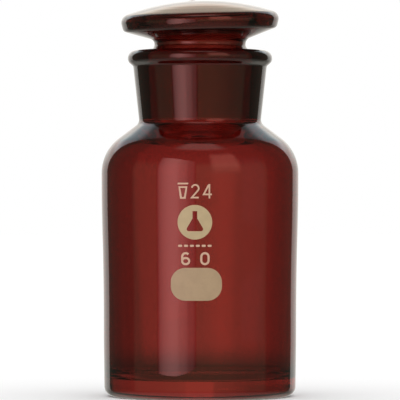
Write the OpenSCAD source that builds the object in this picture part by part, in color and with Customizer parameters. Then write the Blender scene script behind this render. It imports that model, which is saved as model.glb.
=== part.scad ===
// Reagent bottle of red-brown stained glass with a hollow ground-glass stopper, 60 ml size.
// Millimetres. The origin is the middle of the foot, +Z runs up the glass axis, and the
// fired enamel marks face -Y. Every outline is a half section, given as [radius, height].

/* [Bottle body] */
// Outer radius of the wall just above the foot
foot_r = 22.92; // [22.5:0.01:23.1]
// Rounding between the foot and the wall
foot_round = 2.4; // [1.5:0.1:3.5]
// Radius of the shallow hollow under the foot
punt_r = 16.5; // [12:0.5:18]
// Depth of the shallow hollow under the foot
punt_depth = 0.8; // [0.3:0.1:1.5]
// Outer radius of the lower wall
low_r = 23.1; // [23:0.01:23.4]
// Outer radius of the wall under the shoulder
high_r = 23.62; // [23.5:0.01:24]
// Thickness of the wall under the shoulder; it thickens downwards
wall = 1.8; // [1.4:0.1:2.2]
// Height from which the wall thickens downwards
thick_wall_h = 49; // [45:1:51]
// Thickness of the base slab at the middle
base_slab = 4.8; // [3:0.1:6]
// How much lower the inside's floor lies at its edge than at its middle
floor_drop = 0.6; // [0:0.1:1]
// Radius at which the inside of the wall would meet the floor
floor_r = 20.4; // [19:0.1:20.5]
// Rounding inside between the floor and the wall
floor_round = 3.2; // [2.5:0.1:6]
// Height at which the upright wall and the shoulder slope would meet
shoulder_h = 58.7; // [58:0.1:59.5]
// Rounding of the shoulder
shoulder_round = 10.4; // [9:0.2:11]

/* [Neck and mouth] */
// Outer radius at the foot of the neck
neck_low_r = 14.55; // [14.4:0.05:15]
// Height at the foot of the neck
neck_low_h = 65.5; // [65:0.1:66]
// Rounding between the shoulder and the neck
neck_round = 1.8; // [1.2:0.1:2.4]
// Height at which the ground socket ends and the inside opens out
socket_end_h = 64.5; // [63:0.1:65.5]
// Outer radius under the rim
neck_high_r = 16.03; // [15.8:0.01:16.3]
// Outer radius of the rim bead
rim_r = 17.3; // [17:0.1:17.8]
// Height of the mouth of the bottle
mouth_h = 82.85; // [82.5:0.05:83.2]
// Rounding at the outer top of the rim bead
rim_round = 1.85; // [1.4:0.05:2.1]

/* [Ground joint] */
// Diameter of the plug at the gauge plane
joint_d = 24; // [23.8:0.1:24.2]
// Height of the gauge plane, where the plug has its full diameter
gauge_h = 81.3; // [81:0.1:81.6]
// Growth of the joint's diameter for each millimetre of height
joint_taper = 0.1; // [0.08:0.01:0.11]
// Gap all round between plug and socket
joint_gap = 0.05; // [0.02:0.01:0.1]

/* [Stopper] */
// Height of the plug's rounded end
plug_end_h = 61.9; // [61.5:0.1:63]
// Rounding of the plug's end
plug_round = 5; // [3:0.5:6]
// Thickness of the plug's wall
plug_wall = 1.2; // [1:0.1:1.6]
// Radius at which the waist's two slopes meet
waist_r = 10.15; // [9.9:0.05:10.5]
// Height at which the waist's two slopes meet
waist_h = 85.2; // [85:0.1:85.4]
// Rounding of the waist
waist_round = 1.5; // [1.2:0.1:1.8]
// Radius at which the head's dome and its rim would meet
head_r = 19.33; // [18.8:0.01:20]
// Rounding between the head's dome and its rim
head_top_round = 2; // [1.2:0.1:2.4]
// Radius at which the head's rim and its underside would meet
head_low_r = 18.48; // [18:0.01:18.8]
// Height at which the head's rim and its underside would meet
head_low_h = 87.95; // [87.7:0.05:88.3]
// Rounding between the head's rim and its underside
head_round = 1.2; // [0.8:0.1:1.7]
// Height of the top of the head
head_top_h = 94.85; // [94.4:0.05:95.2]
// Radius of the domed top of the head
dome_r = 54.5; // [50:0.5:60]
// Radius of the cavity inside the head
head_cavity_r = 13.2; // [11:0.1:14]
// Thickness of the glass over the cavity inside the head
dome_wall = 2.2; // [1.8:0.1:2.6]

/* [Enamel marks] */
// Thickness of the fired enamel
enamel = 0.1; // [0.06:0.01:0.2]
// Width of the enamel lines
line_w = 0.38; // [0.3:0.02:0.5]
// Width of the capacity digits' bolder lines
bold_w = 0.5; // [0.4:0.02:0.6]
// How far the marks' common centre lies beside the middle of the bottle
marks_x = -1.05; // [-2:0.05:2]
// Width of the writing patch
patch_w = 11.96; // [9:0.1:13]
// Height of the writing patch
patch_h = 7.7; // [6:0.1:8]
// Rounding of the writing patch's corners
patch_round = 3.4; // [2:0.1:3.6]
// Diameter of the round emblem
emblem_d = 8.1; // [7:0.1:8.5]
// Height of the digits of the joint size
size_digit_h = 3.35; // [3:0.05:3.6]
// Height of the digits of the capacity
capacity_digit_h = 3.05; // [2.8:0.05:3.3]

/* [Hidden] */
$fn = 96;

// Steps of each rounded corner of an outline
corner_steps = 6;
// Heights between which the lower wall and the upper wall are upright
low_wall_from = 14;
low_wall_to = 28;
high_wall_from = 50;
high_wall_to = 52.5;
// Heights of the marks' centres
symbol_z = 49.1;
size_z = 49.05;
emblem_z = 41.8;
dash_z = 36.3;
capacity_z = 33.3;
patch_z = 27.3;
// Slope of the joint's half section
joint_slope = joint_taper / 2;

glass_red = [0.45, 0.10, 0.07];
plug_red = [0.36, 0.08, 0.06];
enamel_tan = [0.72, 0.60, 0.46];

function unit(v) = v / norm(v);
function flat_point(p) = [p[0], p[1]];

// Points of one corner: p rounded with radius p[2] between its neighbours a and b
function corner(a, p, b) =
    let (at = flat_point(p), u = unit(flat_point(a) - at), v = unit(flat_point(b) - at))
    let (half = acos(u * v) / 2, centre = at + unit(u + v) * p[2] / sin(half))
    let (from = at + u * p[2] / tan(half) - centre, to = at + v * p[2] / tan(half) - centre)
    let (start = atan2(from[1], from[0]), turn = atan2(to[1], to[0]) - start)
    let (sweep = turn - 360 * round(turn / 360))
    [for (i = [0 : corner_steps])
        centre + p[2] * [cos(start + sweep * i / corner_steps), sin(start + sweep * i / corner_steps)]];

// Outline through corner points [x, y, rounding]; an open one keeps its two ends sharp
function rounded(points, closed = true) =
    let (n = len(points))
    [for (i = [0 : n - 1])
        for (q = points[i][2] == 0 || (!closed && (i == 0 || i == n - 1))
            ? [flat_point(points[i])]
            : corner(points[(i + n - 1) % n], points[i], points[(i + 1) % n])) q];

// Radius of the plug's ground face at a height
function plug_at(h) = joint_d / 2 - (gauge_h - h) * joint_slope;

// The body's outer wall above a height, as bare points, moved out by an amount
function wall_outline(out) = [
    [low_r + out, low_wall_from],
    [low_r + out, low_wall_to],
    [high_r + out, high_wall_from],
    [high_r + out, high_wall_to]];

function bottle_outer() = concat(
    [[0, punt_depth, 0], [punt_r / 2, punt_depth * 0.75, 0], [punt_r, 0, 0], [foot_r, 0, foot_round]],
    [for (p = wall_outline(0)) [p[0], p[1], 0]],
    [[high_r, shoulder_h, shoulder_round],
     [neck_low_r, neck_low_h, neck_round],
     [neck_high_r, mouth_h - 3.75, 0.8],
     [rim_r, mouth_h - 2.65, 1.5],
     [rim_r, mouth_h, rim_round]]);

function bottle_inner() = [
    [plug_at(mouth_h) + joint_gap, mouth_h, 1.5],
    [plug_at(socket_end_h) + joint_gap, socket_end_h, 1.5],
    [high_r - wall, shoulder_h - 0.95, shoulder_round - wall],
    [high_r - wall, thick_wall_h, 50],
    [floor_r, base_slab - floor_drop, floor_round],
    [0, base_slab, 0]];

module bottle() {
    color(glass_red, 0.6)
        rotate_extrude()
            polygon(rounded(concat(bottle_outer(), bottle_inner()), closed = false));
}

// The domed top of the head, moved down by an amount, from a radius in to the axis
function dome(from_r, down) =
    let (r = dome_r - down, edge = asin(from_r / r), steps = 6)
    [for (i = [0 : steps])
        let (a = edge * (1 - i / steps)) [r * sin(a), head_top_h - dome_r + r * cos(a), 0]];

// The dome's first point is the head's upper edge, and it is rounded
function head_top() =
    let (points = dome(head_r, 0))
    [for (i = [0 : len(points) - 1]) i == 0 ? [points[0][0], points[0][1], head_top_round] : points[i]];

function stopper_outer() = concat(
    [[0, plug_end_h, 0],
     [plug_at(plug_end_h), plug_end_h, plug_round],
     [plug_at(gauge_h + 0.9), gauge_h + 0.9, 0.7],
     [waist_r, waist_h, waist_round],
     [head_low_r, head_low_h, head_round]],
    head_top());

function stopper_cavity() = concat(
    [[0, plug_end_h + plug_wall + 0.2, 0],
     [plug_at(plug_end_h) - plug_wall, plug_end_h + plug_wall + 0.2, plug_round - plug_wall],
     [plug_at(gauge_h) - plug_wall, gauge_h + 0.3, 2],
     [waist_r - 1.45, waist_h - 0.4, 1.6],
     [head_cavity_r, head_low_h + 0.65, 1.4]],
    dome(head_cavity_r - 0.6, dome_wall));

module stopper() {
    color(plug_red, 0.6)
        rotate_extrude()
            difference() {
                polygon(rounded(stopper_outer(), closed = false));
                polygon(rounded(stopper_cavity(), closed = false));
            }
}

// Thin layer of enamel on the outer wall, cut to a flat shape drawn in front of it
module on_wall(x, z) {
    color(enamel_tan)
        intersection() {
            rotate_extrude() polygon(concat(wall_outline(enamel), [for (i = [3 : -1 : 0]) wall_outline(0)[i]]));
            rotate([90, 0, 0])
                linear_extrude(height = high_r + 1)
                    translate([x, z])
                        children();
        }
}

// Sideways direction of a path at its point i, lengthened so that the line keeps its width
function side(path, i) =
    let (n = len(path))
    let (before = unit(path[max(i, 1)] - path[max(i, 1) - 1]))
    let (after = unit(path[min(i, n - 2) + 1] - path[min(i, n - 2)]))
    let (along = unit(before + after))
    [-along[1], along[0]] / sqrt((1 + before * after) / 2);

// Line of even width along a path of [x, y] points
module line(path, width = line_w) {
    n = len(path);
    polygon(concat(
        [for (i = [0 : n - 1]) path[i] + side(path, i) * width / 2],
        [for (i = [n - 1 : -1 : 0]) path[i] - side(path, i) * width / 2]));
}

// Ring with rounded corners, drawn as a bold line
module bold_ring(w, h, r) {
    difference() {
        block(w, h, r);
        block(w - 2 * bold_w, h - 2 * bold_w, r - bold_w);
    }
}

// Filled rectangle with rounded corners
module block(w, h, r) {
    polygon(rounded([[w / 2, h / 2, r], [-w / 2, h / 2, r], [-w / 2, -h / 2, r], [w / 2, -h / 2, r]]));
}

// Digits, each w wide and h high over its lines' outer edges, centred
module digit_2(w, h) {
    r = (w - line_w) / 2;
    line(concat(
        [for (a = [170 : -20 : -30]) [r * cos(a), h / 2 - line_w / 2 - r + r * sin(a)]],
        [[-r, -h / 2 + line_w / 2], [r, -h / 2 + line_w / 2]]));
}

module digit_4(w, h) {
    stem = w * 0.22;
    bar = -h * 0.22;
    line([[w / 2, bar], [-w / 2 + line_w / 2, bar], [stem - line_w * 0.4, h / 2 - line_w / 2]]);
    line([[stem, -h / 2], [stem, h / 2]]);
}

module digit_6(w, h) {
    r = (w - bold_w) / 2;
    bowl = h * 0.62;
    translate([0, (bowl - h) / 2]) bold_ring(w, bowl, min(w, bowl) / 2 - 0.01);
    line(concat(
        [[-r, (bowl - h) / 2]],
        [for (a = [180 : -20 : 40]) [r * cos(a), h / 2 - bold_w / 2 - r + r * sin(a)]]), bold_w);
}

module digit_0(w, h) {
    bold_ring(w, h, w / 2 - 0.01);
}

// Side view of a ground plug under a bar
module joint_symbol() {
    top_w = 2.1;
    end_w = 1.3;
    plug_h = 2.9;
    x = marks_x - 2.95;
    on_wall(x, symbol_z + 1.75) block(2.5, line_w, 0.1);
    on_wall(x, symbol_z - 0.35)
        difference() {
            taper(top_w, end_w, plug_h);
            taper(top_w - 2.2 * line_w, end_w - 2.2 * line_w, plug_h - 2 * line_w);
        }
}

// Outline that narrows downwards, centred
module taper(top_w, end_w, h) {
    polygon([[top_w / 2, h / 2], [-top_w / 2, h / 2], [-end_w / 2, -h / 2], [end_w / 2, -h / 2]]);
}

module joint_size_mark() {
    on_wall(marks_x - 0.06, size_z) digit_2(2, size_digit_h);
    on_wall(marks_x + 2.78, size_z) digit_4(2.1, size_digit_h);
}

// Round emblem with a conical flask left clear in it
module flask_emblem() {
    on_wall(marks_x - 0.15, emblem_z)
        difference() {
            circle(d = emblem_d);
            polygon(rounded([
                [0.55, 2.6, 0], [0.55, 0.9, 0], [2.3, -2.1, 0.5],
                [-2.3, -2.1, 0.5], [-0.55, 0.9, 0], [-0.55, 2.6, 0]]));
        }
}

// Row of plain dashes
module dash_line_mark() {
    dashes = 6;
    pitch = 1.38;
    for (i = [0 : dashes - 1])
        on_wall(marks_x - 0.15 + (i - (dashes - 1) / 2) * pitch, dash_z) block(0.95, 0.5, 0.2);
}

module capacity_mark() {
    on_wall(marks_x - 2.3, capacity_z) digit_6(2.12, capacity_digit_h);
    on_wall(marks_x + 2.2, capacity_z) digit_0(2.2, capacity_digit_h);
}

module writing_patch() {
    on_wall(marks_x + 0.2, patch_z) block(patch_w, patch_h, patch_round);
}

bottle();
stopper();
joint_symbol();
joint_size_mark();
flask_emblem();
dash_line_mark();
capacity_mark();
writing_patch();
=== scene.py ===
"""Reagent bottle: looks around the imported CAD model.

Blender works in metres. Outlines are half sections in millimetres, [radius, height], as in the CAD source,
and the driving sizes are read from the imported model's boxes.
"""
import math

import bpy
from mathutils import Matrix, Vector, noise
from mathutils.geometry import delaunay_2d_cdt


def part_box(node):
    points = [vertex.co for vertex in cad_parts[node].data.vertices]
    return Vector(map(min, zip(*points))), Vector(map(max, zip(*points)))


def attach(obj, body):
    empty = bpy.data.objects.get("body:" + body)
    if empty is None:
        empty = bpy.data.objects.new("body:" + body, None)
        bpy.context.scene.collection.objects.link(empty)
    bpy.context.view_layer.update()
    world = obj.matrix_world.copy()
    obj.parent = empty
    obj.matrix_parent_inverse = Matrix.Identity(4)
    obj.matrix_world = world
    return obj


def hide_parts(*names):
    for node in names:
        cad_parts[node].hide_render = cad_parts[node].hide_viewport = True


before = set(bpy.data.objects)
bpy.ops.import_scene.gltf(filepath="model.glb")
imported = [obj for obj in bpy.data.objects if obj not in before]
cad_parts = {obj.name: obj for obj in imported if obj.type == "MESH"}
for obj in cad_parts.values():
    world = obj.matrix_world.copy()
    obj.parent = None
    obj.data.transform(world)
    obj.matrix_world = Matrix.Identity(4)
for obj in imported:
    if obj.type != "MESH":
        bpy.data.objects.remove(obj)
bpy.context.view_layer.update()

MM = 0.001

# ---------------------------------------------------------------- driving sizes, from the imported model
bottle_low, bottle_high = [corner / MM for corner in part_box("bottle")]
stopper_low, stopper_high = [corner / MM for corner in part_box("stopper")]

BODY_R = bottle_high.x
MOUTH_H = bottle_high.z
HEAD_R = stopper_high.x
HEAD_TOP_H = stopper_high.z
PLUG_END_H = stopper_low.z

# ---------------------------------------------------------------- shape of the bottle
# As in the CAD source, but for GROUND_END_H and the heights of the wall's bends, which are rounded here.
PUNT_R = 16.5
PUNT_DEPTH = 0.8
FOOT_R = BODY_R - 0.70
FOOT_ROUND = 2.4
LOW_R = BODY_R - 0.52
LOW_WALL_FROM, LOW_WALL_TO = 14, 27
HIGH_WALL_FROM = 47
WALL = 1.8
THICK_WALL_H = 49
BASE_SLAB = 4.8
FLOOR_R = 20.4
FLOOR_DROP = 0.6
FLOOR_ROUND = 3.2
SHOULDER_H = MOUTH_H - 24.15
SHOULDER_ROUND = 10.4
NECK_LOW_R = 14.55
NECK_LOW_H = MOUTH_H - 17.35
NECK_HIGH_R = 16.03
SOCKET_END_H = MOUTH_H - 18.35
GROUND_END_H = MOUTH_H - 16.6
RIM_R = 17.3

# ---------------------------------------------------------------- shape of the stopper
JOINT_R = 12.0
GAUGE_H = MOUTH_H - 1.55
JOINT_SLOPE = 0.05
JOINT_GAP = 0.05
PLUG_ROUND = 5.0
PLUG_WALL = 1.2
HEAD_CORNER_R = HEAD_R + 0.33
HEAD_TOP_ROUND = 2.0
HEAD_LOW_R = HEAD_R - 0.52
HEAD_LOW_H = HEAD_TOP_H - 6.9
DOME_R = 54.5
DOME_WALL = 2.2
CAVITY_R = 13.2
WAIST_H = HEAD_TOP_H - 9.65
WAIST_R = 10.15
HEAD_LEAN = 0.028
HEAD_TIP = 0.045
PIP_X = -1.9
PIP_R = 0.8
PIP_HEIGHT = 0.22

# ---------------------------------------------------------------- mesh fineness
CORNER_STEPS = 14
RING_SPACING = 0.7
SEGMENTS = 192


# ================================================================ outlines
def rounded(points, steps=CORNER_STEPS, closed=False):
    """Outline through corner points [x, y, rounding]; each point keeps its corner's tag, if it has one."""
    outline = []
    for i, point in enumerate(points):
        at = Vector(point[:2])
        tag = point[3] if len(point) > 3 else None
        if point[2] == 0 or (not closed and i in (0, len(points) - 1)):
            outline.append((at, tag))
            continue
        before = (Vector(points[i - 1][:2]) - at).normalized()
        after = (Vector(points[(i + 1) % len(points)][:2]) - at).normalized()
        half = before.angle(after) / 2
        centre = at + (before + after).normalized() * point[2] / math.sin(half)
        start = at + before * point[2] / math.tan(half) - centre
        end = at + after * point[2] / math.tan(half) - centre
        start_angle = math.atan2(start.y, start.x)
        turn = math.atan2(end.y, end.x) - start_angle
        turn -= 2 * math.pi * round(turn / (2 * math.pi))
        for k in range(steps + 1):
            angle = start_angle + turn * k / steps
            outline.append((centre + point[2] * Vector((math.cos(angle), math.sin(angle))), tag))
    return outline


def evened(outline, spacing=RING_SPACING):
    """The outline with points added along its straight stretches; a stretch has its first point's tag."""
    dense = []
    for (here, tag), (there, _) in zip(outline, outline[1:]):
        count = max(1, round((there - here).length / spacing))
        for k in range(count):
            dense.append((here.lerp(there, k / count), tag))
    dense.append(outline[-1])
    return dense


def plug_at(h):
    """Radius of the plug's ground face at a height."""
    return JOINT_R - (GAUGE_H - h) * JOINT_SLOPE


def bottle_outer():
    """Hollow under the foot, foot, wall, shoulder, neck and rim bead, from the axis up to the mouth."""
    return [
        [0, PUNT_DEPTH, 0, "polished"],
        [PUNT_R * 0.5, PUNT_DEPTH * 0.75, 0, "polished"],
        [PUNT_R, 0, 0, "polished"],
        [FOOT_R, 0, FOOT_ROUND, "polished"],
        [LOW_R, LOW_WALL_FROM, 500, "polished"],
        [LOW_R, LOW_WALL_TO, 700, "polished"],
        [BODY_R, HIGH_WALL_FROM, 450, "polished"],
        [BODY_R, SHOULDER_H, SHOULDER_ROUND, "polished"],
        [NECK_LOW_R, NECK_LOW_H, 1.8, "polished"],
        [NECK_HIGH_R, MOUTH_H - 3.75, 0.8, "polished"],
        [RIM_R, MOUTH_H - 2.65, 1.5, "polished"],
        [RIM_R, MOUTH_H, 1.85, "polished"],
    ]


def bottle_inner():
    """Socket, shoulder, wall and floor, from the mouth down; the socket is ground down to the neck's foot."""
    return [
        [plug_at(MOUTH_H) + JOINT_GAP, MOUTH_H, 1.5, "ground"],
        [plug_at(GROUND_END_H) + JOINT_GAP, GROUND_END_H, 0, "inside"],
        [plug_at(SOCKET_END_H) + JOINT_GAP, SOCKET_END_H, 1.5, "inside"],
        [BODY_R - WALL, SHOULDER_H - 0.95, SHOULDER_ROUND - WALL, "inside"],
        [BODY_R - WALL, THICK_WALL_H, 50, "inside"],
        [FLOOR_R, BASE_SLAB - FLOOR_DROP, FLOOR_ROUND, "inside"],
        [0, BASE_SLAB, 0, "inside"],
    ]


def dome(from_r, down, tag):
    """Domed outline from a radius in to the axis, moved down by an amount."""
    radius = DOME_R - down
    edge = math.asin(from_r / radius)
    steps = 8
    points = []
    for i in range(steps + 1):
        angle = edge * (1 - i / steps)
        height = HEAD_TOP_H - DOME_R + radius * math.cos(angle)
        points.append([radius * math.sin(angle), height, 0, tag])
    return points


def stopper_outer():
    """Plug, waist and head; the plug is ground from a little above its rounded end."""
    head_top = dome(HEAD_CORNER_R, 0, "head")
    head_top[0][2] = HEAD_TOP_ROUND
    ground_from = PLUG_END_H + PLUG_ROUND - 0.1
    return [
        [0, PLUG_END_H, 0, "plug_end"],
        [plug_at(PLUG_END_H), PLUG_END_H, PLUG_ROUND, "plug_end"],
        [plug_at(ground_from), ground_from, 0, "ground"],
        [plug_at(GAUGE_H + 0.9), GAUGE_H + 0.9, 0.7, "head"],
        [WAIST_R, WAIST_H, 1.5, "head"],
        [HEAD_LOW_R, HEAD_LOW_H, 1.2, "head"],
    ] + head_top


def stopper_cavity():
    """The sealed hollow, from its floor in the plug up to the head."""
    end_h = PLUG_END_H + PLUG_WALL + 0.2
    return [
        [0, end_h, 0, "inside"],
        [plug_at(PLUG_END_H) - PLUG_WALL, end_h, PLUG_ROUND - PLUG_WALL, "inside"],
        [plug_at(GAUGE_H) - PLUG_WALL, GAUGE_H + 0.3, 2, "inside"],
        [WAIST_R - 1.45, WAIST_H - 0.4, 1.6, "inside"],
        [CAVITY_R, HEAD_LOW_H + 0.65, 1.4, "inside"],
    ] + dome(CAVITY_R - 0.6, DOME_WALL, "inside")


# ================================================================ meshes
def ripple(radius, angle, height, tag):
    """How far blown glass stands off its true shape: more inside than outside, nothing on ground faces."""
    amount = {"polished": 0.012, "head": 0.015, "inside": 0.06}.get(tag, 0)
    if amount == 0 or radius < 1:
        return 0
    if tag == "inside":
        calm_floor = min(1, max(0.1, (height - 6) / 14))
        calm_shoulder = min(1, max(0.15, (SHOULDER_H - height) / 10))
        amount *= calm_floor * calm_shoulder
    around = Vector((math.cos(angle) * 1.7, math.sin(angle) * 1.7, height * 0.022))
    fine = Vector((math.cos(angle) * 4.5, math.sin(angle) * 4.5, height * 0.06))
    return amount * (noise.noise(around) + 0.45 * noise.noise(fine))


def lathe(rings, shape=None):
    """Vertices, faces and tags of a turned shell. rings are (point, tag), and the first and last are on the
    axis or, for a closed loop, the same."""
    verts, faces, tags, starts = [], [], [], []
    for point, tag in rings:
        starts.append(len(verts))
        if point.x < 1e-6:
            verts.append(Vector((0, 0, point.y)))
            continue
        for s in range(SEGMENTS):
            angle = 2 * math.pi * s / SEGMENTS
            r = point.x + ripple(point.x, angle, point.y, tag)
            verts.append(Vector((r * math.cos(angle), r * math.sin(angle), point.y)))
    for i, (point, tag) in enumerate(rings[:-1]):
        a, b = starts[i], starts[i + 1]
        low_tip = point.x < 1e-6
        high_tip = rings[i + 1][0].x < 1e-6
        for s in range(SEGMENTS):
            t = (s + 1) % SEGMENTS
            if low_tip:
                faces.append((a, b + t, b + s))
            elif high_tip:
                faces.append((a + s, a + t, b))
            else:
                faces.append((a + s, a + t, b + t, b + s))
            tags.append(tag)
    if shape:
        verts = [shape(v) for v in verts]
    return verts, faces, tags


def mesh_object(name, shells, materials):
    """One smooth mesh object, in metres, from shells of (verts, faces, tags); each tag names a material."""
    verts, faces, tags = [], [], []
    for shell_verts, shell_faces, shell_tags in shells:
        base = len(verts)
        verts += [tuple(v * MM) for v in shell_verts]
        faces += [tuple(base + i for i in face) for face in shell_faces]
        tags += shell_tags
    mesh = bpy.data.meshes.new(name)
    mesh.from_pydata(verts, [], faces)
    order = list(dict.fromkeys(tags))
    for tag in order:
        mesh.materials.append(materials[tag])
    mesh.polygons.foreach_set("material_index", [order.index(tag) for tag in tags])
    mesh.polygons.foreach_set("use_smooth", [True] * len(faces))
    mesh.update()
    obj = bpy.data.objects.new(name, mesh)
    bpy.context.scene.collection.objects.link(obj)
    return obj


# ================================================================ node trees
class Tree:
    """Short way to write node trees: an input given a socket is linked, and one given a value is set."""

    def __init__(self, owner):
        owner.use_nodes = True
        self.nodes = owner.node_tree.nodes
        self.links = owner.node_tree.links
        self.nodes.clear()

    def add(self, kind, inputs=None, **settings):
        made = self.nodes.new(kind)
        for key, value in settings.items():
            setattr(made, key, value)
        for key, value in (inputs or {}).items():
            socket = made.inputs[key]
            if isinstance(value, bpy.types.NodeSocket):
                self.links.new(value, socket)
            else:
                socket.default_value = value
        return made

    def math(self, operation, a, b=0.0):
        return self.add("ShaderNodeMath", {0: a, 1: b}, operation=operation).outputs[0]

    def ramp(self, value, low, high, out_low=0.0, out_high=1.0):
        """Smooth step from out_low at low to out_high at high."""
        inputs = {"Value": value, "From Min": low, "From Max": high, "To Min": out_low, "To Max": out_high}
        return self.add("ShaderNodeMapRange", inputs, interpolation_type="SMOOTHSTEP").outputs["Result"]

    def mix(self, factor, a, b):
        made = self.add("ShaderNodeMix", {0: factor}, data_type="RGBA")
        for socket, value in ((made.inputs[6], a), (made.inputs[7], b)):
            if isinstance(value, bpy.types.NodeSocket):
                self.links.new(value, socket)
            else:
                socket.default_value = value
        return made.outputs[2]

    def noise(self, scale, detail=3.0, roughness=0.5, where=None):
        inputs = {"Scale": scale, "Detail": detail, "Roughness": roughness}
        if where is not None:
            inputs["Vector"] = where
        return self.add("ShaderNodeTexNoise", inputs).outputs["Fac"]


def object_coordinates(tree):
    return tree.add("ShaderNodeTexCoord").outputs["Object"]


# ================================================================ materials
GLASS_IOR = 1.474
# How much deeper the stain is where light crosses it at its slantest, as a power of the tint
SLANT_DEPTH = 1.36
GROUND_ROUGHNESS = 0.58
GROUND_GRAIN = 0.5
# Painted shade: colour of a ground face seen so much at a slant that it hides what is behind it, standing in
# for light lost in the ground joint
GROUND_FACE_PAINTED_SHADE = (0.02, 0.008, 0.006, 1.0)


def slant_share(tree):
    """0 where light crosses the surface head on, 1 where it crosses as slantwise as glass lets it."""
    facing = tree.add("ShaderNodeLayerWeight", {"Blend": 0.5}).outputs["Facing"]
    from_air = tree.math("SUBTRACT", 1.0, tree.math("POWER", tree.math("SUBTRACT", 1.0, facing), 2.0))
    from_glass = tree.math("MINIMUM", tree.math("MULTIPLY", facing, 3.4), 1.0)
    behind = tree.add("ShaderNodeNewGeometry").outputs["Backfacing"]
    return tree.add("ShaderNodeMix", {0: behind, 2: from_air, 3: from_glass}, data_type="FLOAT").outputs[0]


def glass(name, tint, roughness, grain=0.0, belts=()):
    """Glass whose surface tints what crosses it, more at a slant. grain roughens a ground face and gives it
    painted shade: a dark colour and less light through where it is seen at a slant. Each belt is (in_from,
    in_to, out_from, out_to, tint): a tint of its own that comes in and goes out between heights, which for
    some belts is painted shade."""
    material = bpy.data.materials.new(name)
    tree = Tree(material)
    share = slant_share(tree)
    deep = tuple(c ** SLANT_DEPTH for c in tint) + (1.0,)
    colour = tree.mix(share, (*tint, 1.0), deep)
    for in_from, in_to, out_from, out_to, belt_tint in belts:
        height = tree.add("ShaderNodeSeparateXYZ", {"Vector": object_coordinates(tree)}).outputs["Z"]
        above = tree.ramp(height, in_from * MM, in_to * MM)
        below = tree.ramp(height, out_from * MM, out_to * MM, 1.0, 0.0)
        colour = tree.mix(tree.math("MULTIPLY", above, below), colour, (*belt_tint, 1.0))
    inputs = {"Base Color": colour, "Roughness": roughness, "IOR": GLASS_IOR, "Transmission Weight": 1.0}
    if grain:
        speckle = tree.noise(9000.0, 2.0, 0.6, object_coordinates(tree))
        inputs["Roughness"] = tree.ramp(speckle, 0.25, 0.75, roughness - 0.08, roughness + 0.08)
        bump = tree.add("ShaderNodeBump", {"Strength": grain, "Distance": 0.00003, "Height": speckle})
        inputs["Normal"] = bump.outputs["Normal"]
        # Painted shade: the ground face turns dark and lets less light through where it is seen at a slant
        shade = tree.math("POWER", share, 8.0)
        inputs["Base Color"] = tree.mix(shade, (*tint, 1.0), GROUND_FACE_PAINTED_SHADE)
        inputs["Transmission Weight"] = tree.math("SUBTRACT", 1.0, tree.math("MULTIPLY", shade, 0.85))
    shader = tree.add("ShaderNodeBsdfPrincipled", inputs)
    out = tree.add("ShaderNodeOutputMaterial")
    tree.links.new(shader.outputs["BSDF"], out.inputs["Surface"])
    return material


def fired_enamel(name, colour):
    """Matt fired enamel: cloudy tone, fine grain, and a few darker pores."""
    material = bpy.data.materials.new(name)
    tree = Tree(material)
    where = object_coordinates(tree)
    cloud = tree.noise(420.0, 4.0, 0.6, where)
    grain = tree.noise(5200.0, 3.0, 0.7, where)
    pores = tree.noise(2600.0, 2.0, 0.5, where)
    dark = tuple(c * 0.95 for c in colour) + (1.0,)
    light = tuple(min(1.0, c * 1.04) for c in colour) + (1.0,)
    pore = tuple(c * 0.75 for c in colour) + (1.0,)
    toned = tree.mix(tree.ramp(cloud, 0.3, 0.7), dark, light)
    spotted = tree.mix(tree.ramp(pores, 0.66, 0.78, 0.0, 0.7), toned, pore)
    bump = tree.add("ShaderNodeBump", {"Strength": 0.35, "Distance": 0.00004, "Height": grain})
    inputs = {
        "Base Color": spotted,
        "Roughness": tree.ramp(grain, 0.3, 0.7, 0.48, 0.68),
        "Normal": bump.outputs["Normal"],
    }
    shader = tree.add("ShaderNodeBsdfPrincipled", inputs)
    out = tree.add("ShaderNodeOutputMaterial")
    tree.links.new(shader.outputs["BSDF"], out.inputs["Surface"])
    return material


# Tints of the stained and clear glass, and colours of painted shade, for light that crosses the surface twice
STAIN = (0.1915, 0.0128, 0.0099)
FOOT_STAIN = (0.235, 0.016, 0.0115)
# Painted shade for the belt above the slab, standing in for the shade of the thick inner corner
CORNER_PAINTED_SHADE = (0.04, 0.0045, 0.0035)
HEAD_STAIN = (0.11, 0.010, 0.006)
# Painted shade for the underside and rim of the head
HEAD_RIM_PAINTED_SHADE = (0.025, 0.004, 0.003)
PLUG_TINT = (0.50, 0.22, 0.16)
PLUG_END_TINT = (0.86, 0.60, 0.52)
SOCKET_TINT = (0.93, 0.90, 0.88)
CLEAR_TINT = (0.985, 0.99, 0.98)

# Outside tints by height: a lighter slab, and a belt of painted shade that stands in for the shade of the
# thick inner corner above it
FOOT_BELTS = [
    (-10, -9, BASE_SLAB - 0.4, BASE_SLAB + 0.4, FOOT_STAIN),
    (BASE_SLAB - 0.4, BASE_SLAB + 0.4, 6, 12.5, CORNER_PAINTED_SHADE),
]
# The underside and the rim of the head, darkened with painted shade
HEAD_BELTS = [(WAIST_H + 1.1, WAIST_H + 1.9, WAIST_H + 3.8, WAIST_H + 4.6, HEAD_RIM_PAINTED_SHADE)]
# The outer stained glass also carries the belt of painted shade above the foot's slab
stained_glass_with_painted_shade = glass("stained_glass_with_painted_shade", STAIN, 0.0, belts=FOOT_BELTS)
# The head's stained glass also carries the belt of painted shade on its underside and rim
head_glass = glass("stained_head_glass_with_painted_shade", HEAD_STAIN, 0.0, belts=HEAD_BELTS)
clear_glass = glass("clear_glass", CLEAR_TINT, 0.0)
plug_end_glass = glass("plug_end_glass", PLUG_END_TINT, 0.02)
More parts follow.
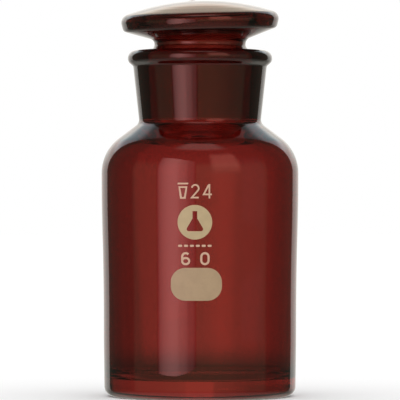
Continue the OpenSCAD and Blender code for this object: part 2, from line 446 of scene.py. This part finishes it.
# The ground glasses darken with painted shade where they are seen at a slant
socket_ground_glass_with_painted_shade = glass("ground_socket_glass_with_painted_shade", SOCKET_TINT, GROUND_ROUGHNESS, grain=GROUND_GRAIN)
plug_ground_glass_with_painted_shade = glass("ground_plug_glass_with_painted_shade", PLUG_TINT, GROUND_ROUGHNESS, grain=GROUND_GRAIN)
patch_enamel = fired_enamel("enamel_patch", (0.36, 0.25, 0.14))
emblem_enamel = fired_enamel("enamel_emblem", (0.42, 0.32, 0.17))
line_enamel = fired_enamel("enamel_lines", (0.52, 0.34, 0.23))

# ================================================================ bottle
bottle_outline = evened(rounded(bottle_outer() + bottle_inner()))
bottle_glass = mesh_object(
    "bottle_glass",
    [lathe(bottle_outline)],
    {"polished": stained_glass_with_painted_shade, "ground": socket_ground_glass_with_painted_shade, "inside": clear_glass},
)
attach(bottle_glass, "bottle_body")
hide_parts("bottle")


# ================================================================ stopper
def lean_head(v):
    """The hand-finished head sits a little out of true on its waist, and has the sealed tip's pip on top."""
    share = min(1.0, max(0.0, (v.z - WAIST_H + 1.0) / 3.5))
    lean = share * share * (3 - 2 * share)
    x, y, z = v
    z += (HEAD_LEAN * x + HEAD_TIP * y) * lean
    if v.z > HEAD_TOP_H - 1.5:
        away = math.hypot(x - PIP_X, y) / PIP_R
        z += PIP_HEIGHT * math.exp(-away * away)
    return Vector((x, y, z))


def flipped(shell):
    """The shell with its faces turned inside out, for a cavity."""
    verts, faces, tags = shell
    return verts, [tuple(reversed(face)) for face in faces], tags


stopper_shells = [
    lathe(evened(rounded(stopper_outer())), lean_head),
    flipped(lathe(evened(rounded(stopper_cavity())), lean_head)),
]
stopper_glass = mesh_object(
    "stopper_glass",
    stopper_shells,
    {"plug_end": plug_end_glass, "ground": plug_ground_glass_with_painted_shade, "head": head_glass, "inside": clear_glass},
)
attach(stopper_glass, "stopper_body")
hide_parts("stopper")

# ================================================================ enamel marks
ENAMEL_OUT = 0.05
ENAMEL_IN = -0.01
LINE_W = 0.38
BOLD_W = 0.5
MARKS_X = -1.05
PRINTED_TO = 53.5
wall_points = [p for p, tag in bottle_outline if tag == "polished" and FOOT_ROUND <= p.y <= PRINTED_TO]


def wall_radius(h):
    """Radius of the wall's outside at a height."""
    for low, high in zip(wall_points, wall_points[1:]):
        if low.y <= h <= high.y:
            return low.x + (high.x - low.x) * (h - low.y) / (high.y - low.y)
    raise ValueError(f"no wall at {h}")


def path_ribbon(path, width=LINE_W):
    """Outline of a line of even width along a path."""
    sides = []
    for i, point in enumerate(path):
        before = (Vector(path[max(i, 1)]) - Vector(path[max(i, 1) - 1])).normalized()
        after = (Vector(path[min(i, len(path) - 2) + 1]) - Vector(path[min(i, len(path) - 2)])).normalized()
        along = (before + after).normalized()
        stretch = math.sqrt((1 + before.dot(after)) / 2)
        sides.append((Vector(point), Vector((-along.y, along.x)) * width / 2 / stretch))
    return [p + s for p, s in sides] + [p - s for p, s in reversed(sides)]


def block(w, h, r, steps=8):
    """Rectangle of a width and height with rounded corners."""
    corners = [[w / 2, h / 2, r], [-w / 2, h / 2, r], [-w / 2, -h / 2, r], [w / 2, -h / 2, r]]
    return [p for p, _ in rounded(corners, steps, closed=True)]


def moved(outline, x, y):
    return [Vector(p) + Vector((x, y)) for p in outline]


def arc(r, x, y, start, end, steps=16):
    angles = [math.radians(start + (end - start) * k / steps) for k in range(steps + 1)]
    return [(x + r * math.cos(a), y + r * math.sin(a)) for a in angles]


def resampled(outline, spacing):
    """Closed outline with no side longer than the spacing, so that it follows the round wall."""
    dense = []
    for a, b in zip(outline, outline[1:] + outline[:1]):
        count = max(1, math.ceil((b - a).length / spacing))
        dense += [a.lerp(b, k / count) for k in range(count)]
    return dense


def inside(point, outlines):
    """Even-odd test of a point against several outlines."""
    crossings = 0
    for outline in outlines:
        for a, b in zip(outline, outline[1:] + outline[:1]):
            if (a.y > point.y) != (b.y > point.y):
                if point.x < a.x + (point.y - a.y) * (b.x - a.x) / (b.y - a.y):
                    crossings += 1
    return crossings % 2 == 1


def wall_print(outlines, x, z, spacing=0.3):
    """Shell of enamel on the wall: a flat shape seen from -Y, centred at x and z, bent round the glass."""
    outlines = [resampled([Vector(p) for p in outline], spacing) for outline in outlines]
    points, edges = [], []
    for outline in outlines:
        start = len(points)
        points += outline
        count = len(outline)
        edges += [(start + i, start + (i + 1) % count) for i in range(count)]
    low_x = min(p.x for p in points)
    high_x = max(p.x for p in points)
    low_y = min(p.y for p in points)
    high_y = max(p.y for p in points)
    for i in range(1, int((high_x - low_x) / spacing) + 1):
        for j in range(1, int((high_y - low_y) / spacing) + 1):
            p = Vector((low_x + i * spacing, low_y + j * spacing))
            if inside(p, outlines):
                points.append(p)
    flat, _, triangles, *_ = delaunay_2d_cdt(points, edges, [], 0, 1e-5)
    kept = [t for t in triangles if inside(sum((flat[i] for i in t), Vector((0, 0))) / 3, outlines)]
    verts = []
    for out in (ENAMEL_OUT, ENAMEL_IN):
        for p in flat:
            radius = wall_radius(z + p.y) + out
            across = x + p.x
            verts.append(Vector((across, -math.sqrt(radius * radius - across * across), z + p.y)))
    count = len(flat)
    rim = {}
    for t in kept:
        for a, b in zip(t, (t[1], t[2], t[0])):
            rim[(a, b)] = rim.get((a, b), 0) + 1
    faces = [tuple(t) for t in kept]
    faces += [tuple(count + i for i in reversed(t)) for t in kept]
    faces += [(b, a, count + a, count + b) for a, b in rim if (b, a) not in rim]
    return verts, faces, ["enamel"] * len(faces)


def mark(name, node, material, shells):
    """Makes the enamel piece that replaces a CAD node."""
    piece = mesh_object(name, shells, {"enamel": material})
    piece.data.polygons.foreach_set("use_smooth", [False] * len(piece.data.polygons))
    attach(piece, "bottle_body")
    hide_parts(node)


def digit_2(w, h):
    r = (w - LINE_W) / 2
    hook = arc(r, 0, h / 2 - LINE_W / 2 - r, 170, -30)
    return [path_ribbon(hook + [(-r, -h / 2 + LINE_W / 2), (r, -h / 2 + LINE_W / 2)])]


def digit_4(w, h):
    stem, bar = w * 0.22, -h * 0.22
    slope = [(w / 2, bar), (-w / 2 + LINE_W / 2, bar), (stem - LINE_W * 0.4, h / 2 - LINE_W / 2)]
    return [path_ribbon(slope)], [path_ribbon([(stem, -h / 2), (stem, h / 2)])]


def bold_ring(w, h, r):
    """Closed ring of a bold digit."""
    return [block(w, h, r), block(w - 2 * BOLD_W, h - 2 * BOLD_W, r - BOLD_W)]


def taper(top_w, end_w, h):
    """Outline of a plug: wide at the top and narrow at its end."""
    corners = ((top_w / 2, h / 2), (-top_w / 2, h / 2), (-end_w / 2, -h / 2), (end_w / 2, -h / 2))
    return [Vector(p) for p in corners]


# Heights of the marks' centres, and of the digits
SYMBOL_Z, SIZE_Z, EMBLEM_Z, DASH_Z, CAPACITY_Z, PATCH_Z = 49.1, 49.05, 41.8, 36.3, 33.3, 27.3
SIZE_H, CAPACITY_H = 3.35, 3.05

symbol_x = MARKS_X - 2.95
plug_sign = [taper(2.1, 1.3, 2.9), taper(2.1 - 2.2 * LINE_W, 1.3 - 2.2 * LINE_W, 2.9 - 2 * LINE_W)]
mark("joint_symbol_enamel", "joint_symbol", line_enamel, [
    wall_print([block(2.5, LINE_W, 0.1)], symbol_x, SYMBOL_Z + 1.75),
    wall_print(plug_sign, symbol_x, SYMBOL_Z - 0.35),
])

four_slope, four_stem = digit_4(2.1, SIZE_H)
mark("joint_size_enamel", "joint_size_mark", line_enamel, [
    wall_print(digit_2(2.0, SIZE_H), MARKS_X - 0.06, SIZE_Z),
    wall_print(four_slope, MARKS_X + 2.78, SIZE_Z),
    wall_print(four_stem, MARKS_X + 2.78, SIZE_Z),
])

EMBLEM_R = 4.05
disc = [Vector(p) for p in arc(EMBLEM_R, 0, 0, 0, 360 - 360 / 64, 63)]
flask_corners = [
    [0.55, 2.6, 0], [0.55, 0.9, 0], [2.3, -2.1, 0.5],
    [-2.3, -2.1, 0.5], [-0.55, 0.9, 0], [-0.55, 2.6, 0],
]
flask = [p for p, _ in rounded(flask_corners, 6, closed=True)]
mark("flask_emblem_enamel", "flask_emblem", emblem_enamel, [
    wall_print([disc, flask], MARKS_X - 0.15, EMBLEM_Z),
])

DASHES, DASH_PITCH = 6, 1.38
mark("dash_line_enamel", "dash_line_mark", line_enamel, [
    wall_print([block(0.95, 0.5, 0.2)], MARKS_X - 0.15 + (i - (DASHES - 1) / 2) * DASH_PITCH, DASH_Z)
    for i in range(DASHES)
])

six_w, six_bowl = 2.12, CAPACITY_H * 0.62
six_r = (six_w - BOLD_W) / 2
six_bowl_z = (six_bowl - CAPACITY_H) / 2
six_hook = [(-six_r, six_bowl_z)] + arc(six_r, 0, CAPACITY_H / 2 - BOLD_W / 2 - six_r, 180, 40)
six_bowl_round = min(six_w, six_bowl) / 2 - 0.01
six_ring = [moved(outline, 0, six_bowl_z) for outline in bold_ring(six_w, six_bowl, six_bowl_round)]
mark("capacity_enamel", "capacity_mark", line_enamel, [
    wall_print(six_ring, MARKS_X - 2.3, CAPACITY_Z),
    wall_print([path_ribbon(six_hook, BOLD_W)], MARKS_X - 2.3, CAPACITY_Z),
    wall_print(bold_ring(2.2, CAPACITY_H, 1.09), MARKS_X + 2.2, CAPACITY_Z),
])

mark("writing_patch_enamel", "writing_patch", patch_enamel, [
    wall_print([block(11.96, 7.7, 3.4)], MARKS_X + 0.2, PATCH_Z, spacing=0.5),
])


# ================================================================ floor
def make_floor():
    """Large pale floor; mirrored rays and rays through the glass don't see it, so the glass stays clean."""
    half = 4.0
    below_foot = 0.00002
    mesh = bpy.data.meshes.new("floor")
    corners = [(-half, -half, 0), (half, -half, 0), (half, half, 0), (-half, half, 0)]
    mesh.from_pydata(corners, [], [(0, 1, 2, 3)])
    floor = bpy.data.objects.new("floor", mesh)
    bpy.context.scene.collection.objects.link(floor)
    floor.location.z = -below_foot
    material = bpy.data.materials.new("pale_floor")
    tree = Tree(material)
    shader = tree.add("ShaderNodeBsdfDiffuse", {"Color": (0.93, 0.93, 0.93, 1.0)})
    out = tree.add("ShaderNodeOutputMaterial")
    tree.links.new(shader.outputs["BSDF"], out.inputs["Surface"])
    mesh.materials.append(material)
    floor.visible_glossy = False
    floor.visible_transmission = False


# ================================================================ studio light
def ramps(tree, value, stops):
    """Value carried smoothly through (place, amount) stops in degrees."""
    result = None
    for (low, low_amount), (high, high_amount) in zip(stops, stops[1:]):
        change = high_amount - low_amount
        part = tree.ramp(value, math.radians(low), math.radians(high), 0.0, change)
        result = tree.math("ADD", part, stops[0][1]) if result is None else tree.math("ADD", result, part)
    return result


def panel(tree, direction, heading, across_stops, up_stops):
    """Soft patch of sky: heading is from +Y towards +X, across is the angle from it, and up the elevation."""
    turned = tree.add("ShaderNodeVectorRotate", {"Vector": direction, "Angle": math.radians(heading)},
                      rotation_type="Z_AXIS").outputs["Vector"]
    parts = tree.add("ShaderNodeSeparateXYZ", {"Vector": turned})
    across = tree.math("ARCTAN2", parts.outputs["X"], parts.outputs["Y"])
    up = tree.math("ARCSINE", parts.outputs["Z"])
    return tree.math("MULTIPLY", ramps(tree, across, across_stops), ramps(tree, up, up_stops))


def sky(tree, direction, panels, ambient):
    """Even light with panels added, each (heading, stops across, stops up, colour)."""
    total = tree.add("ShaderNodeCombineXYZ", dict(zip("XYZ", ambient))).outputs[0]
    for heading, across_stops, up_stops, colour in panels:
        shape = panel(tree, direction, heading, across_stops, up_stops)
        lit = tree.add("ShaderNodeVectorMath", {0: colour, "Scale": shape}, operation="SCALE").outputs[0]
        total = tree.add("ShaderNodeVectorMath", {0: total, 1: lit}, operation="ADD").outputs[0]
    return total


# Stops are (degrees, brightness)
ALL_ROUND = [(0, 1), (1, 1)]
LEVEL = [(-25, 0), (-8, 1), (20, 1), (45, 0.1)]
WHITE = (1, 1, 1)

# What mirrored rays see: the backdrop behind the bottle in three layers, a warm light high over the camera,
# the dim room behind the camera in three layers, an orange light right of the camera, and the table.
MIRROR_AMBIENT = (0.12, 0.115, 0.09)
MIRROR_PANELS = [
    (0, [(-41.5, 0), (-39.5, 1), (39.5, 1), (41.5, 0)],
     [(-20, 0.2), (-2, 0.8), (3, 0.9), (12, 1.25), (20, 1.1), (30, 0)], (1.0, 0.97, 0.93)),
    (0, [(-41.5, 0), (-39.5, 1), (-22, 1), (-10, 0), (10, 0), (22, 1), (39.5, 1), (41.5, 0)],
     [(15, 0), (27, 1), (38, 0.85), (48, 0.2), (60, 0.15), (76, 0)], (0.85, 1.0, 1.1)),
    (0, [(-24, 0), (-8, 1), (8, 1), (24, 0)], [(15, 0), (27, 1), (48, 1), (64, 0)], (1.25, 1.05, 0.85)),
    (180, [(-60, 0), (-35, 1), (35, 1), (60, 0)], [(56, 0), (66, 1), (76, 1), (84, 0)], (1.1, 0.8, 0.72)),
    (180, [(-88, 0), (-82, 1), (82, 1), (88, 0)], [(-16, 0), (-12, 1), (12, 1), (30, 0)], (0.16, 0.18, 0.11)),
    (180, [(-62, 0), (-22, 1), (22, 1), (62, 0)], [(-16, 0), (-12, 1), (12, 1), (30, 0)], (0.08, 0.10, 0.05)),
    (180, [(-82, 0), (-78, 1), (-52, 1), (-48, 0)], [(-3.0, 0), (-2.6, 1), (28, 1), (36, 0)],
     (0.06, 0.06, 0.07)),
    (180, [(-52, 0), (-44, 1), (-18, 1), (-10, 0)], [(-2, 0), (8, 0.5), (20, 1), (40, 1), (52, 0)],
     (2.1, 0.7, 0.55)),
    (0, ALL_ROUND, [(-40, 1), (-13, 0)], (0.42, 0.42, 0.38)),
]

# What rays that come through the glass see: the backdrop, brightest in the middle, a panel to the left and
# one behind the camera, two patches of lit table, and the table itself.
THROUGH_AMBIENT = (0.03, 0.03, 0.026)
BACKDROP = [
    (-58, 0), (-50, 0.2), (-37, 0.28), (-22, 0.36), (-16, 0.47), (-10, 0.58), (-5.9, 0.66), (-4.4, 0.98),
    (4.6, 0.98), (6.2, 0.84), (10, 0.78), (22, 0.7), (38.5, 0.5), (50, 0.35), (58, 0),
]
THROUGH_PANELS = [
    (0, BACKDROP, LEVEL, WHITE),
    (-90, [(-32, 0), (-22, 0.6), (22, 0.6), (32, 0)], LEVEL, WHITE),
    (135, [(-32, 0), (-22, 0.7), (22, 0.7), (32, 0)], LEVEL, WHITE),
    (-45, [(-25, 0), (-12, 0.6), (20, 0.6), (28, 0)], [(-50, 0), (-32, 1), (-20, 1), (-13, 0)], WHITE),
    (135, [(-32, 0), (-22, 0.5), (22, 0.5), (32, 0)], [(-50, 0), (-32, 1), (-12, 1), (-8, 0)], WHITE),
    (0, ALL_ROUND, [(-25, 0.4), (-8, 0)], WHITE),
]


def make_world():
    """White round the bottle for the eye; mirrored rays and rays through the glass see soft panels."""
    world = bpy.data.worlds.new("studio")
    bpy.context.scene.world = world
    tree = Tree(world)
    direction = tree.add("ShaderNodeTexCoord").outputs["Generated"]
    ray = tree.add("ShaderNodeLightPath")
    mirrored = sky(tree, direction, MIRROR_PANELS, MIRROR_AMBIENT)
    through = sky(tree, direction, THROUGH_PANELS, THROUGH_AMBIENT)
    light = tree.mix(ray.outputs["Is Glossy Ray"], (1.12, 1.12, 1.12, 1.0), mirrored)
    light = tree.mix(ray.outputs["Is Transmission Ray"], light, through)
    light = tree.mix(ray.outputs["Is Camera Ray"], light, (1.0, 1.0, 1.0, 1.0))
    background = tree.add("ShaderNodeBackground", {"Color": light, "Strength": 1.0})
    out = tree.add("ShaderNodeOutputWorld")
    tree.links.new(background.outputs["Background"], out.inputs["Surface"])
    world.cycles.sampling_method = "NONE"


# Brightness across the soft card, from its edge nearest the camera: (share of the width, brightness)
CARD_STOPS = [
    (0.0, 0.0), (0.05, 0.2), (0.12, 0.3), (0.2, 0.32), (0.28, 0.55), (0.36, 0.66), (0.42, 0.7),
    (0.50, 0.94), (0.6, 1.0), (0.7, 0.93), (0.82, 0.74), (0.93, 0.45), (1.0, 0.0),
]


def make_soft_card():
    """Upright soft light left of the camera: the pale stripe down the wall and the neck."""
    toward = math.radians(33)
    distance, near_end, far_end = 0.26, 0.142, 0.078
    across = Vector((-math.cos(toward), math.sin(toward), 0))
    middle = Vector((-math.sin(toward), -math.cos(toward), 0)) * distance
    corners = [middle - across * near_end, middle + across * far_end]
    low, near_top, far_top = -0.0115, 0.194, 0.238
    heights = (low, low, far_top, near_top)
    verts = [corner + Vector((0, 0, z)) for corner, z in zip(corners + corners[::-1], heights)]
    mesh = bpy.data.meshes.new("soft_card")
    mesh.from_pydata([tuple(v) for v in verts], [], [(0, 1, 2, 3)])
    layer = mesh.uv_layers.new(name="UVMap")
    for loop, uv in zip(layer.data, ((0, 0), (1, 0), (1, 1), (0, 1))):
        loop.uv = uv
    card = bpy.data.objects.new("soft_card", mesh)
    bpy.context.scene.collection.objects.link(card)
    material = bpy.data.materials.new("soft_card_light")
    tree = Tree(material)
    parts = tree.add("ShaderNodeSeparateXYZ", {"Vector": tree.add("ShaderNodeTexCoord").outputs["UV"]})
    total = CARD_STOPS[0][1]
    for (low, low_amount), (high, high_amount) in zip(CARD_STOPS, CARD_STOPS[1:]):
        inputs = {"Value": parts.outputs["X"], "From Min": low, "From Max": high, "To Min": 0.0}
        inputs["To Max"] = high_amount - low_amount
        total = tree.math("ADD", total, tree.add("ShaderNodeMapRange", inputs).outputs["Result"])
    ray = tree.add("ShaderNodeLightPath")
    colour = tree.mix(ray.outputs["Is Glossy Ray"], (6.0, 3.0, 3.0, 1.0), (3.6, 1.75, 1.65, 1.0))
    shader = tree.add("ShaderNodeEmission", {"Color": colour, "Strength": total})
    out = tree.add("ShaderNodeOutputMaterial")
    tree.links.new(shader.outputs["Emission"], out.inputs["Surface"])
    mesh.materials.append(material)
    card.visible_camera = False
    card.visible_diffuse = False


def make_camera():
    """Level view of the marked side, from the distance that the foot's curve shows."""
    data = bpy.data.cameras.new("camera")
    camera = bpy.data.objects.new("camera", data)
    bpy.context.scene.collection.objects.link(camera)
    distance = 0.876
    seen_height = 0.096
    data.sensor_width = 36.0
    data.lens = data.sensor_width * distance / seen_height
    data.clip_end = 100.0
    camera.location = (0, -distance, 0.047)
    camera.rotation_euler = (math.radians(90), 0, 0)
    bpy.context.scene.camera = camera


make_floor()
make_soft_card()
make_world()
make_camera()

scene = bpy.context.scene
scene.view_settings.view_transform = "Standard"
scene.cycles.max_bounces = 32
scene.cycles.transmission_bounces = 28
scene.cycles.glossy_bounces = 12
scene.cycles.sample_clamp_indirect = 4.0
scene.cycles.blur_glossy = 0.3
